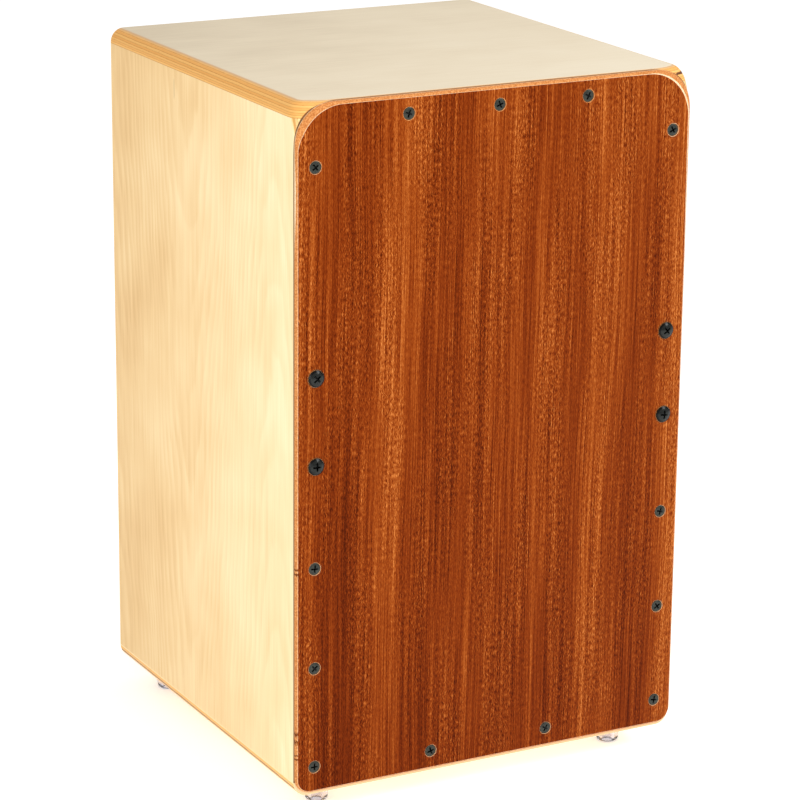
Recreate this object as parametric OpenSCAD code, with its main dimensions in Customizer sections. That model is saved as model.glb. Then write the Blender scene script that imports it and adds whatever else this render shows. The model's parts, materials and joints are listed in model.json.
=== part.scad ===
// Snare cajon: a plywood box with a thin screwed-on playing plate, a seat on top,
// a sound hole in the back, and a turning snare bar inside that presses wires on the plate.
// The plate faces -Y, +Z is up, and the origin is on the floor under the middle of the whole.

/* [Box] */
// Outer width of the box
box_w = 300; // [260:1:340]
// Depth of the box without the front plate
box_d = 297; // [260:1:340]
// Height of the box without the feet
box_h = 480; // [430:1:520]
// Thickness of the seat, bottom and side panels
panel_t = 10.5; // [9:0.5:14]
// Radius of the rounded long edges of the seat and the bottom
edge_r = 10; // [6:0.5:10]
// Thickness of the back panel
back_t = 6; // [4:0.5:9]
// Side of the square battens in the corners
batten = 18; // [15:0.5:22]

/* [Front plate] */
// Thickness of the playing plate
plate_t = 3; // [2.5:0.1:4]
// Gap between the plate's top edge and the top of the seat
plate_gap_top = 0.7; // [0.5:0.1:3]
// Gap between the plate's lower edge and the underside of the box
plate_gap_bottom = 2.3; // [1:0.1:4]
// Radius of the plate's two upper corners at its back face
plate_r_top = 27.2; // [20:0.1:34]
// Radius of the two upper corners of the flat front face, inside the rounded arris
face_r_top = 32.2; // [20:0.1:36]
// Radius of the plate's two lower corners at its back face
plate_r_bottom = 12; // [8:0.5:20]
// Radius of the two lower corners of the flat front face
face_r_bottom = 8; // [6:0.5:18]
// Depth and width of the plate's rounded front arris on its straight edges
plate_arris = 2.4; // [1:0.1:2.4]
// How far the corner rounding of the box runs back for each millimetre it runs in
corner_run = 1.55; // [1.2:0.05:2]

/* [Plate fasteners] */
// Distance of the side screws from the middle of the plate
screw_x = 136; // [134:0.5:138]
// Heights of the four side screws above the underside of the box
side_screw_rise = [21, 92.4, 163.5, 437.2]; // [13:0.1:448]
// Heights of the two bolts above the underside of the box
bolt_rise = [235.2, 295.8]; // [220:0.1:310]
// Distance of the top row's outer screws from the middle
top_row_x = 68; // [50:1:90]
// Depth of the top row below the top of the seat
top_row_drop = 13.4; // [13:0.1:16]
// Distance of the bottom row's screws from the middle
bottom_row_x = 46; // [30:1:70]
// Height of the bottom row above the underside of the box
bottom_row_rise = 15.9; // [13:0.1:22]
// Diameter of a countersunk screw's head
screw_head_d = 8.6; // [7:0.1:9]
// Diameter of a bolt's domed head
bolt_head_d = 11.6; // [10:0.1:13]
// Height of a bolt's domed head
bolt_head_h = 2.6; // [2:0.1:3.2]

/* [Sound hole] */
// Diameter of the sound hole in the back panel
hole_d = 120; // [90:1:140]
// Height of the sound hole's middle above the underside of the box
hole_rise = 280; // [200:1:330]

/* [Snare] */
// Diameter of the snare bar
bar_d = 20; // [16:0.5:22]
// Distance of the bar's middle behind the plate's back face
bar_back = 34.7; // [34.7:0.1:36]
// Lean of the wires towards the plate, in degrees
wire_lean = 9.5; // [4:0.5:9.5]
// Length of the wires above the bar's middle
wire_len = 138; // [100:1:138]
// Number of wires in one set
wire_count = 10; // [6:1:10]
// Distance of each wire set's middle from the middle of the box
set_x = 52; // [40:1:70]

/* [Feet] */
// Height of a foot
foot_h = 18; // [12:0.5:22]
// Diameter of a foot where it meets the box
foot_top_d = 20; // [18:0.5:26]
// Diameter of a foot near the floor
foot_low_d = 16; // [15:0.5:18]
// Distance of the front feet from the sides of the box
foot_in_front = 32; // [25:1:45]
// Distance of the rear feet from the sides of the box
foot_in_rear = 26; // [25:1:45]
// Distance of all feet from the front and back of the box
foot_in_y = 30; // [25:1:45]

/* [Hidden] */

birch = "#f3dcae";
seat_beige = "#e6d8c0";
mahogany = "#9a4a1c";
pine = "#e8cf9a";
beech = "#d9a873";
black_steel = "#1c1c1e";
bright_steel = "#b9bcc0";
brass = "#c8a24a";
clear_rubber = "#d8d8dc";

$fn = 96;
eps = 0.02;

// Levels and faces of the box
total_d = bolt_head_h + plate_t + box_d;
plate_front = -total_d / 2 + bolt_head_h;
box_front = plate_front + plate_t;
box_back = box_front + box_d;
box_low = foot_h;
box_top = foot_h + box_h;
inner_w = box_w - 2 * panel_t;
inner_low = box_low + panel_t;
inner_top = box_top - panel_t;
rear_batten_y = box_back - back_t - batten;

// Front plate outline
corner_steps = 18;
arris_steps = 7;
plate_low = box_low + plate_gap_bottom;
plate_top = box_top - plate_gap_top;

// Screws and bolts of the plate: places as [x, z]
side_screw_z = [for (rise = side_screw_rise) box_low + rise];
bolt_z = [for (rise = bolt_rise) box_low + rise];
bolt_inset = 0.6;
bolt_x = screw_x - bolt_inset;
plate_screw_places = concat(
    [for (side = [-1, 1], z = side_screw_z) [side * screw_x, z]],
    [for (step = [-1, 0, 1]) [step * top_row_x, box_top - top_row_drop]],
    [for (side = [-1, 1]) [side * bottom_row_x, box_low + bottom_row_rise]]
);
bolt_places = [for (side = [-1, 1], z = bolt_z) [side * bolt_x, z]];
screw_seat_depth = 1;
screw_d = 4;
screw_len = 20;
screw_tip_len = 4;
screw_tip_d = 1;
bolt_d = 4.9;
bolt_len = 40;
recess_turn = 20;
hole_slack = 0.1;
plate_hole_slack = 0.6;
bolt_hole_slack = 0.3;
past = 1;

// Snare carrier
bar_y = box_front + bar_back;
bar_z = (bolt_z[0] + bolt_z[1]) / 2;
bar_end_gap = 1;
bar_slack = 0.05;
block_w = 26;
block_d = 32;
block_h = 86;
block_front = box_front + batten;
insert_d = 7;
insert_len = 15;
block_hole_slack = 0.5;
lock_screw_d = 4.9;
lock_tip_gap = 0.15;
lock_head_d = 8.5;
lock_head_h = 4;
flat_depth = 8.5;
clip_len = 56;
clip_t = 1;
clip_h = 16;
wire_d = 2.2;
wire_pitch = 4.2;
wire_start = -6;
clip_screw_x = 24;
clip_screw_d = 2.8;
clip_screw_len = 10;
clip_screw_head = 5.4;
clip_hole_slack = 0.4;
flat_margin = 1;

// Feet
foot_round = 2.5;
foot_recess_d = 7.4;
foot_recess_h = 9;
washer_t = 0.8;
foot_screw_d = 4;
foot_screw_bite = 8;
foot_head_d = 6.6;
foot_head_h = 2.4;

// A solid along +Z turned so that it runs from a point towards +Y
module along_y(x, y, z) {
    translate([x, y, z]) rotate([-90, 0, 0]) children();
}

// Plain box between two corners
module span(low, high) {
    translate(low) cube([high[0] - low[0], high[1] - low[1], high[2] - low[2]]);
}

// Upper corner of the box that is rounded away around the plate's corner arc, at one side
module corner_relief(side) {
    reach = 14;
    arc_x = side * (box_w / 2 - plate_r_top);
    arc_z = plate_top - plate_r_top;
    size = 2 * plate_r_top;
    low_x = side > 0 ? arc_x : arc_x - size;
    difference() {
        span([low_x, box_front - past, arc_z], [low_x + size, box_front + reach, arc_z + size]);
        along_y(arc_x, box_front - 2 * past, arc_z)
            cylinder(
                h = reach + 3 * past,
                r1 = plate_r_top - 2 * past / corner_run,
                r2 = plate_r_top + (reach + past) / corner_run
            );
    }
}

// Horizontal panel with two rounded long edges, lying on the XY plane with the rounding upwards
module rounded_panel() {
    straight_w = box_w - 2 * edge_r;
    union() {
        translate([-box_w / 2, 0, 0]) cube([box_w, box_d, panel_t - edge_r]);
        translate([-straight_w / 2, 0, 0]) cube([straight_w, box_d, panel_t]);
        for (side = [-1, 1])
            intersection() {
                along_y(side * straight_w / 2, 0, panel_t - edge_r) cylinder(h = box_d, r = edge_r);
                translate([-box_w / 2, 0, 0]) cube([box_w, box_d, panel_t]);
            }
    }
}

module top_panel() {
    color(seat_beige)
        difference() {
            translate([0, box_front, inner_top]) rounded_panel();
            corner_relief(-1);
            corner_relief(1);
        }
}

module bottom_panel() {
    color(birch)
        difference() {
            translate([0, box_front, inner_low]) mirror([0, 0, 1]) rounded_panel();
            for (place = foot_places())
                translate([place[0], place[1], box_low - eps])
                    cylinder(h = foot_screw_bite + past, d = foot_screw_d + hole_slack);
        }
}

module side_panel(side) {
    near = side * inner_w / 2;
    far = side * box_w / 2;
    color(birch)
        difference() {
            span([min(near, far), box_front, inner_low], [max(near, far), box_back, inner_top]);
            corner_relief(side);
        }
}

module left_side_panel() side_panel(-1);

module right_side_panel() side_panel(1);

module back_panel() {
    color(birch)
        difference() {
            span([-inner_w / 2, box_back - back_t, inner_low], [inner_w / 2, box_back, inner_top]);
            along_y(0, box_back - 2 * back_t, box_low + hole_rise)
                cylinder(h = 3 * back_t, d = hole_d, $fn = 144);
        }
}

// Plate outline pulled in by a margin, as [x, z] points anticlockwise from the lower right corner
function plate_outline(margin) = [
    for (corner = plate_corners(margin), step = [0 : corner_steps])
        let (turn = corner[3] + 90 * step / corner_steps)
        [corner[0] + corner[2] * cos(turn), corner[1] + corner[2] * sin(turn)]
];

// Middle, radius and first angle of each corner arc: the radius changes from back face to front face
function plate_corners(margin) =
    let (
        share = margin / plate_arris,
        top_r = plate_r_top + (face_r_top - plate_r_top) * share,
        low_r = plate_r_bottom + (face_r_bottom - plate_r_bottom) * share,
        top_x = box_w / 2 - margin - top_r,
        top_z = plate_top - margin - top_r,
        low_x = box_w / 2 - margin - low_r,
        low_z = plate_low + margin + low_r
    )
    [
        [low_x, low_z, low_r, 270],
        [top_x, top_z, top_r, 0],
        [-top_x, top_z, top_r, 90],
        [-low_x, low_z, low_r, 180]
    ];

// Closed solid through rings of equally many points, each ring a list of [x, y, z]
module loft(rings) {
    count = len(rings[0]);
    last = len(rings) - 1;
    walls = [
        for (k = [0 : last - 1], i = [0 : count - 1])
            let (
                here = k * count + i,
                beside = k * count + (i + 1) % count
            )
            each [[here, beside, beside + count], [here, beside + count, here + count]]
    ];
    first_cap = [for (i = [count - 1 : -1 : 0]) i];
    last_cap = [for (i = [0 : count - 1]) last * count + i];
    corners = [for (ring = rings, point = ring) point];
    polyhedron(points = corners, faces = concat(walls, [first_cap, last_cap]));
}

// The plate without its holes: flat back, rounded front arris
module plate_blank() {
    arris_rings = [
        for (step = [0 : arris_steps])
            let (turn = 90 * step / arris_steps)
            [plate_arris * (1 - cos(turn)), plate_front + plate_arris * (1 - sin(turn))]
    ];
    levels = concat([[0, box_front]], arris_rings);
    loft([for (level = levels) [for (point = plate_outline(level[0])) [point[0], level[1], point[1]]]]);
}

module front_plate() {
    color(mahogany)
        difference() {
            plate_blank();
            for (place = plate_screw_places) {
                along_y(place[0], plate_front - past, place[1])
                    cylinder(h = plate_t + 2 * past, d = screw_d + plate_hole_slack);
                along_y(place[0], plate_front - eps, place[1])
                    cylinder(
                        h = screw_seat_depth + screw_cone_h() + eps,
                        d1 = screw_head_d + 2 * (screw_seat_depth + eps) + hole_slack,
                        d2 = screw_d + plate_hole_slack
                    );
            }
            for (place = bolt_places)
                along_y(place[0], plate_front - past, place[1])
                    cylinder(h = plate_t + 2 * past, d = bolt_d + bolt_hole_slack);
        }
}

// Height of the cone under a countersunk head, so that it ends at the plate's back face
function screw_cone_h() = plate_t - screw_seat_depth;

// Cross-shaped driver recess, cut downwards from the origin
module cross_recess(width, blade, depth) {
    for (turn = [recess_turn, recess_turn + 90])
        rotate([0, 0, turn]) translate([-width / 2, -blade / 2, -eps]) cube([width, blade, depth + eps]);
}

// Countersunk wood screw along +Z with its head's rim at the origin
module wood_screw() {
    dome = 0.5;
    flat_d = screw_head_d - 2;
    straight = screw_len - screw_tip_len;
    difference() {
        union() {
            cylinder(h = screw_cone_h(), d1 = screw_head_d, d2 = screw_d);
            cylinder(h = straight, d = screw_d, $fn = 32);
            translate([0, 0, straight])
                cylinder(h = screw_tip_len, d1 = screw_d, d2 = screw_tip_d, $fn = 32);
            translate([0, 0, -dome]) cylinder(h = dome, d1 = flat_d, d2 = screw_head_d);
        }
        translate([0, 0, -dome]) cross_recess(width = 4.4, blade = 0.9, depth = 1.8);
    }
}

module front_plate_screws() {
    color(black_steel)
        for (place = plate_screw_places)
            along_y(place[0], plate_front + screw_seat_depth, place[1]) wood_screw();
}

// Dome-headed machine screw along +Z with the underside of its head at the origin
module dome_bolt() {
    rim = 0.8;
    rise = bolt_head_h - rim;
    dome_r = (pow(bolt_head_d / 2, 2) + pow(rise, 2)) / (2 * rise);
    difference() {
        union() {
            cylinder(h = bolt_len, d = bolt_d, $fn = 32);
            translate([0, 0, -rim]) cylinder(h = rim, d = bolt_head_d);
            intersection() {
                translate([0, 0, -bolt_head_h + dome_r]) sphere(r = dome_r);
                translate([0, 0, -bolt_head_h]) cylinder(h = rise, d = bolt_head_d);
            }
        }
        translate([0, 0, -bolt_head_h]) cross_recess(width = 5.6, blade = 1.2, depth = 2);
    }
}

module snare_block_bolts() {
    color(black_steel)
        for (place = bolt_places)
            along_y(place[0], plate_front, place[1]) dome_bolt();
}

// Vertical batten at one side, the full height of the inside, with its front face at y
module side_batten(side, y) {
    near = side * (inner_w / 2 - batten);
    far = side * inner_w / 2;
    span([min(near, far), y, inner_low], [max(near, far), y + batten, inner_top]);
}

// Horizontal batten between the vertical ones, with its lower face at z and its front face at y
module cross_batten(z, y) {
    half = inner_w / 2 - batten;
    span([-half, y, z], [half, y + batten, z + batten]);
}

// Pilot holes that the plate's screws and bolts need in the battens behind it
module batten_holes() {
    for (place = plate_screw_places)
        along_y(place[0], box_front - past, place[1])
            cylinder(h = screw_len, d = screw_d + hole_slack, $fn = 32);
    for (place = bolt_places)
        along_y(place[0], box_front - past, place[1])
            cylinder(h = batten + 2 * past, d = bolt_d + hole_slack, $fn = 32);
}

module front_batten_left() {
    color(pine)
        difference() {
            side_batten(-1, box_front);
            batten_holes();
        }
}

module front_batten_right() {
    color(pine)
        difference() {
            side_batten(1, box_front);
            batten_holes();
        }
}

module front_batten_top() {
    color(pine)
        difference() {
            cross_batten(inner_top - batten, box_front);
            batten_holes();
        }
}

module front_batten_bottom() {
    color(pine)
        difference() {
            cross_batten(inner_low, box_front);
            batten_holes();
        }
}

module rear_batten_left() color(pine) side_batten(-1, rear_batten_y);

module rear_batten_right() color(pine) side_batten(1, rear_batten_y);

module rear_batten_top() color(pine) cross_batten(inner_top - batten, rear_batten_y);

module rear_batten_bottom() color(pine) cross_batten(inner_low, rear_batten_y);

// Hardwood end block behind the front batten: carries one end of the bar
module snare_block(side) {
    near = side * (inner_w / 2 - block_w);
    far = side * inner_w / 2;
    low_x = min(near, far);
    color(beech)
        difference() {
            span(
                [low_x, block_front, bar_z - block_h / 2],
                [low_x + block_w, block_front + block_d, bar_z + block_h / 2]
            );
            translate([low_x - past, bar_y, bar_z]) rotate([0, 90, 0])
                cylinder(h = block_w + 2 * past, d = bar_d + 2 * bar_slack);
            for (z = bolt_z)
                along_y(side * bolt_x, block_front - past, z)
                    cylinder(h = insert_len + past, d = insert_d);
            for (z = bolt_z)
                along_y(side * bolt_x, block_front, z)
                    cylinder(h = bolt_len - plate_t - batten + past, d = bolt_d + block_hole_slack, $fn = 32);
            along_y(lock_x(side), bar_y, bar_z)
                cylinder(h = block_front + block_d - bar_y + past, d = lock_screw_d + hole_slack, $fn = 32);
        }
}

function lock_x(side) = side * (inner_w / 2 - block_w / 2);

module snare_block_left() snare_block(-1);

module snare_block_right() snare_block(1);

// Threaded brass sleeves in the end blocks that take the plate's bolts
module snare_block_inserts() {
    color(brass)
        for (place = bolt_places)
            along_y(place[0], block_front, place[1])
                difference() {
                    cylinder(h = insert_len, d = insert_d);
                    translate([0, 0, -past]) cylinder(h = insert_len + 2 * past, d = bolt_d + hole_slack);
                }
}

// Hexagon-headed screws that clamp the bar from the back of each block
module snare_lock_screws() {
    tip = bar_y + bar_d / 2 + lock_tip_gap;
    seat = block_front + block_d;
    color(bright_steel)
        for (side = [-1, 1]) {
            along_y(lock_x(side), tip, bar_z) cylinder(h = seat - tip + past, d = lock_screw_d, $fn = 32);
            along_y(lock_x(side), seat, bar_z) cylinder(h = lock_head_h, d = lock_head_d, $fn = 6);
        }
}

// Frame of the turning bar: its axis along X, its own +Z along the leaning wires
module on_bar() {
    translate([0, bar_y, bar_z]) rotate([wire_lean, 0, 0]) children();
}

// Place of one clip screw's axis, in the bar's own frame, running inwards from y
module on_clip(side, step, y) {
    along_y(side * set_x + step * clip_screw_x, y, 0) children();
}

module snare_bar() {
    half = inner_w / 2 - bar_end_gap;
    color(beech)
        on_bar()
            difference() {
                translate([-half, 0, 0]) rotate([0, 90, 0]) cylinder(h = 2 * half, d = bar_d);
                for (side = [-1, 1]) {
                    span(
                        [side * set_x - clip_len / 2 - flat_margin, -bar_d, -bar_d],
                        [side * set_x + clip_len / 2 + flat_margin, -flat_depth, bar_d]
                    );
                    for (step = [-1, 1])
                        on_clip(side, step, -flat_depth - past)
                            cylinder(h = clip_screw_len + past, d = clip_screw_d + hole_slack, $fn = 32);
                }
            }
}

// Steel strip that holds the lower ends of one set of wires on the bar's flat
module snare_clip(side) {
    color(bright_steel)
        on_bar()
            difference() {
                span(
                    [side * set_x - clip_len / 2, -flat_depth - clip_t, -clip_h / 2],
                    [side * set_x + clip_len / 2, -flat_depth, clip_h / 2]
                );
                for (step = [-1, 1])
                    on_clip(side, step, -flat_depth - clip_t - past)
                        cylinder(h = clip_t + 2 * past, d = clip_screw_d + clip_hole_slack, $fn = 32);
            }
}

module snare_clip_left() snare_clip(-1);

module snare_clip_right() snare_clip(1);

// One set of coiled wires, each as the plain round envelope of its coil
module snare_wires(side) {
    color(bright_steel)
        on_bar()
            for (i = [0 : wire_count - 1])
                translate([
                    side * set_x + (i - (wire_count - 1) / 2) * wire_pitch,
                    -flat_depth - clip_t - wire_d / 2,
                    wire_start
                ])
                    cylinder(h = wire_len - wire_start, d = wire_d, $fn = 24);
}

module snare_wires_left() snare_wires(-1);

module snare_wires_right() snare_wires(1);

module snare_clip_screws() {
    head_h = 1.6;
    flat_d = clip_screw_head - 1;
    color(bright_steel)
        on_bar()
            for (side = [-1, 1], step = [-1, 1])
                on_clip(side, step, -flat_depth - clip_t) {
                    cylinder(h = clip_screw_len, d = clip_screw_d, $fn = 32);
                    difference() {
                        translate([0, 0, -head_h]) cylinder(h = head_h, d1 = flat_d, d2 = clip_screw_head);
                        translate([0, 0, -head_h]) cross_recess(width = 3, blade = 0.6, depth = 1);
                    }
                }
}

// Places of the four feet on the underside: front left, front right, rear left, rear right
function foot_places() = [
    [-box_w / 2 + foot_in_front, box_front + foot_in_y],
    [box_w / 2 - foot_in_front, box_front + foot_in_y],
    [-box_w / 2 + foot_in_rear, box_back - foot_in_y],
    [box_w / 2 - foot_in_rear, box_back - foot_in_y]
];

// Tapered foot with a rounded lower edge and a recess for its screw
module foot(place) {
    low_r = foot_low_d / 2;
    color(clear_rubber)
        translate([place[0], place[1], 0])
            difference() {
                union() {
                    translate([0, 0, foot_round])
                        cylinder(h = foot_h - foot_round, d1 = foot_low_d, d2 = foot_top_d);
                    rotate_extrude() translate([low_r - foot_round, foot_round]) circle(r = foot_round);
                    cylinder(h = foot_round, r = low_r - foot_round);
                }
                translate([0, 0, -past]) cylinder(h = foot_recess_h + past, d = foot_recess_d);
                cylinder(h = foot_h + past, d = foot_screw_d + hole_slack);
            }
}

module foot_front_left() foot(foot_places()[0]);

module foot_front_right() foot(foot_places()[1]);

module foot_rear_left() foot(foot_places()[2]);

module foot_rear_right() foot(foot_places()[3]);

module foot_washers() {
    color(bright_steel)
        for (place = foot_places())
            translate([place[0], place[1], foot_recess_h - washer_t])
                difference() {
                    cylinder(h = washer_t, d = foot_recess_d - 2 * hole_slack);
                    translate([0, 0, -past])
                        cylinder(h = washer_t + 2 * past, d = foot_screw_d + hole_slack);
                }
}

module foot_screws() {
    seat = foot_recess_h - washer_t;
    flat_d = foot_head_d - 1.4;
    color(bright_steel)
        for (place = foot_places())
            translate([place[0], place[1], seat])
                difference() {
                    union() {
                        cylinder(h = foot_h - seat + foot_screw_bite, d = foot_screw_d, $fn = 32);
                        translate([0, 0, -foot_head_h])
                            cylinder(h = foot_head_h, d1 = flat_d, d2 = foot_head_d);
                    }
                    translate([0, 0, -foot_head_h]) cross_recess(width = 3.8, blade = 0.9, depth = 1.4);
                }
}

top_panel();
bottom_panel();
left_side_panel();
right_side_panel();
back_panel();
front_plate();
front_batten_left();
front_batten_right();
front_batten_top();
front_batten_bottom();
rear_batten_left();
rear_batten_right();
rear_batten_top();
rear_batten_bottom();
front_plate_screws();
snare_block_bolts();
snare_block_inserts();
snare_block_left();
snare_block_right();
snare_lock_screws();
snare_bar();
snare_clip_left();
snare_clip_right();
snare_wires_left();
snare_wires_right();
snare_clip_screws();
foot_front_left();
foot_front_right();
foot_rear_left();
foot_rear_right();
foot_washers();
foot_screws();
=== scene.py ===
"""Looks of a snare cajon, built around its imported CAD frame.

Metres, +Z up, the playing plate facing -Y. Places come from the frame's boxes. The sizes that
a box can't tell, such as the radius of a rounded edge, are named below.
"""
import json
import math

import bmesh
import bpy
from mathutils import Matrix, Vector


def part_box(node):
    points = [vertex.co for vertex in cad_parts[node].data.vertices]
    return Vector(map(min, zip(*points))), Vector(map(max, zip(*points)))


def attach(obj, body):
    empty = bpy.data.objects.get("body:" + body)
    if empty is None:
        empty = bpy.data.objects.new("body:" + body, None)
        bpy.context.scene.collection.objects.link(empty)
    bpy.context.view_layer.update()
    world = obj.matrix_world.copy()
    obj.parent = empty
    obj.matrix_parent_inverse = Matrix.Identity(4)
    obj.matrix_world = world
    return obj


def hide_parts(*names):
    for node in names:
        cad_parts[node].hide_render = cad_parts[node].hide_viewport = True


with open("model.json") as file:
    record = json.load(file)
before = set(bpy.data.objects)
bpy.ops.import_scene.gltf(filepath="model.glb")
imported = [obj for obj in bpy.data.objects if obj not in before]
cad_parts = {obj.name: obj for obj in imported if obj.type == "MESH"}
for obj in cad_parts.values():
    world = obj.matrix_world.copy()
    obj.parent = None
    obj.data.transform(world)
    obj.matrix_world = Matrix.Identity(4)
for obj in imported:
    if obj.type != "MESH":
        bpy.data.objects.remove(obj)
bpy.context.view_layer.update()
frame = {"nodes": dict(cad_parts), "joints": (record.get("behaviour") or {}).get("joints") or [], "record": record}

MM = 0.001
QUARTER = math.pi / 2

# Boxes of the panels
SEAT_LOW, SEAT_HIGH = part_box("top_panel")
BASE_LOW, BASE_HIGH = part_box("bottom_panel")
SIDE_LOW, SIDE_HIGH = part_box("right_side_panel")
PLATE_LOW, PLATE_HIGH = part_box("front_plate")
BACK_LOW, BACK_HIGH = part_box("back_panel")
HALF_W = SEAT_HIGH.x
FRONT = SEAT_LOW.y
REAR = SEAT_HIGH.y

# Box: radius of the long edges, arrises at its front and rear, and how much longer than deep
# the front corners' blend into the plate's outline is
EDGE_R = 10 * MM
SIDE_ARRIS = 0.6 * MM
TOP_ARRIS = 2.4 * MM
REAR_ARRIS = 0.7 * MM
CORNER_RUN = 1.55
HOLE_R = 60 * MM
HOLE_ARRIS = 1.6 * MM

# Plate: upper and lower corner radii at its edge and at its face, and its rounded arris
PLATE_R = 27.2 * MM
FACE_R = 32.2 * MM
PLATE_LOW_R = 12 * MM
FACE_LOW_R = 8 * MM
PLATE_ARRIS = 2.4 * MM

# How far the screw heads stand out from the CAD's, and how much the snare wires lean to the plate
SCREW_PROUD = 0.6 * MM
WIRE_LEAN = math.radians(9.5)

# Meshes: sides of a round shank, and the angle in degrees from which an edge stays sharp
SHANK_SIDES = 20
SHARP = 32


# ---------------------------------------------------------------- camera

def make_camera():
    """Camera at the viewing angle: left of the plate and above it."""
    azimuth, elevation, roll = (math.radians(a) for a in (-28.19, 16.68, 0.56))
    distance = 2.35146
    target = Vector((0.00844, 0.00297, 0.23941))
    level = math.cos(elevation)
    back = Vector((math.sin(azimuth) * level, -math.cos(azimuth) * level, math.sin(elevation)))
    right = Vector((0, 0, 1)).cross(back).normalized()
    up = back.cross(right)
    turned_right = right * math.cos(roll) + up * math.sin(roll)
    turned_up = up * math.cos(roll) - right * math.sin(roll)
    data = bpy.data.cameras.new("camera")
    data.sensor_width = 36
    data.lens = 146.75
    camera = bpy.data.objects.new("camera", data)
    bpy.context.scene.collection.objects.link(camera)
    axes = Matrix((turned_right, turned_up, back)).transposed().to_4x4()
    camera.matrix_world = Matrix.Translation(target + back * distance) @ axes
    bpy.context.scene.camera = camera


# ---------------------------------------------------------------- materials: arithmetic on nodes

class Num:
    """A number in a material's node tree, so that formulas read as plain arithmetic."""

    def __init__(self, shader, socket):
        self.shader = shader
        self.socket = socket

    def op(self, kind, *others):
        return self.shader.math(kind, self, *others)

    def __add__(self, other):
        return self.op("ADD", other)

    __radd__ = __add__

    def __sub__(self, other):
        return self.op("SUBTRACT", other)

    def __rsub__(self, other):
        return self.shader.math("SUBTRACT", other, self)

    def __mul__(self, other):
        return self.op("MULTIPLY", other)

    __rmul__ = __mul__

    def __truediv__(self, other):
        return self.op("DIVIDE", other)

    def abs(self):
        return self.op("ABSOLUTE")

    def sin(self):
        return self.op("SINE")

    def least(self, other):
        return self.op("MINIMUM", other)

    def most(self, other):
        return self.op("MAXIMUM", other)

    def fraction(self):
        return self.op("FRACT")

    def floor(self):
        return self.op("FLOOR")

    def rise(self, start, end):
        """0 before start, 1 after end, smooth between; start may be above end."""
        return self.shader.map_range(self, start, end)


class Shader:
    """One procedural material. x, y and z are the object's own coordinates in millimetres."""

    def __init__(self, name, **settings):
        self.material = bpy.data.materials.new(name)
        self.material.use_nodes = True
        tree = self.material.node_tree
        self.nodes = tree.nodes
        self.links = tree.links
        self.bsdf = self.nodes["Principled BSDF"]
        for key, value in settings.items():
            self.bsdf.inputs[key.replace("_", " ")].default_value = value
        coords = self.nodes.new("ShaderNodeTexCoord")
        split = self.nodes.new("ShaderNodeSeparateXYZ")
        self.links.new(coords.outputs["Object"], split.inputs[0])
        self.x, self.y, self.z = (Num(self, split.outputs[i]) * 1000 for i in range(3))

    def put(self, socket, value):
        if isinstance(value, Num):
            self.links.new(value.socket, socket)
        elif isinstance(value, bpy.types.NodeSocket):
            self.links.new(value, socket)
        else:
            socket.default_value = value

    def math(self, kind, *values):
        node = self.nodes.new("ShaderNodeMath")
        node.operation = kind
        for socket, value in zip(node.inputs, values):
            self.put(socket, value)
        return Num(self, node.outputs[0])

    def map_range(self, value, start, end):
        node = self.nodes.new("ShaderNodeMapRange")
        node.interpolation_type = "SMOOTHSTEP"
        self.put(node.inputs["Value"], value)
        self.put(node.inputs["From Min"], start)
        self.put(node.inputs["From Max"], end)
        return Num(self, node.outputs["Result"])

    def noise(self, x, y=0.0, z=0.0, detail=2.0, rough=0.5):
        """Fractal noise about 0, mostly within 0.3 each way, at coordinates given in cells."""
        joined = self.nodes.new("ShaderNodeCombineXYZ")
        for socket, value in zip(joined.inputs, (x, y, z)):
            self.put(socket, value)
        node = self.nodes.new("ShaderNodeTexNoise")
        node.inputs["Scale"].default_value = 1.0
        node.inputs["Detail"].default_value = detail
        node.inputs["Roughness"].default_value = rough
        self.links.new(joined.outputs[0], node.inputs["Vector"])
        return Num(self, node.outputs[0]) - 0.5

    def tones(self, value, colours):
        """Colour along 0 to 1 through evenly spaced sRGB colours."""
        node = self.nodes.new("ShaderNodeValToRGB")
        elements = node.color_ramp.elements
        while len(elements) < len(colours):
            elements.new(0.5)
        for i, (element, colour) in enumerate(zip(elements, colours)):
            element.position = i / (len(colours) - 1)
            element.color = linear(colour)
        self.put(node.inputs[0], value)
        return node.outputs[0]

    def mix(self, share, first, second):
        """Colour between first and second, each an sRGB triple or a colour socket."""
        node = self.nodes.new("ShaderNodeMix")
        node.data_type = "RGBA"
        self.put(node.inputs[0], share)
        for socket, value in ((node.inputs[6], first), (node.inputs[7], second)):
            self.put(socket, linear(value) if isinstance(value, tuple) else value)
        return node.outputs[2]

    def colour(self, value):
        self.put(self.bsdf.inputs["Base Color"], value)

    def roughness(self, value):
        self.put(self.bsdf.inputs["Roughness"], value)

    def bump(self, height, distance):
        """Bump from a height of 0 to 1, distance in metres."""
        node = self.nodes.new("ShaderNodeBump")
        node.inputs["Strength"].default_value = 1.0
        node.inputs["Distance"].default_value = distance
        self.put(node.inputs["Height"], height)
        self.links.new(node.outputs[0], self.bsdf.inputs["Normal"])


def linear(colour):
    """Linear RGBA of an sRGB triple of 0 to 255."""
    shares = (value / 255 for value in colour)
    return tuple(s / 12.92 if s <= 0.04045 else ((s + 0.055) / 1.055) ** 2.4 for s in shares) + (1.0,)


# ---------------------------------------------------------------- materials: woods

# In these formulas a factor of x, y or z is a noise's cells per millimetre, a pair in rise() is
# in the unit of the value before it, and the other factors are weights on a tone of 0 to 1.

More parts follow.
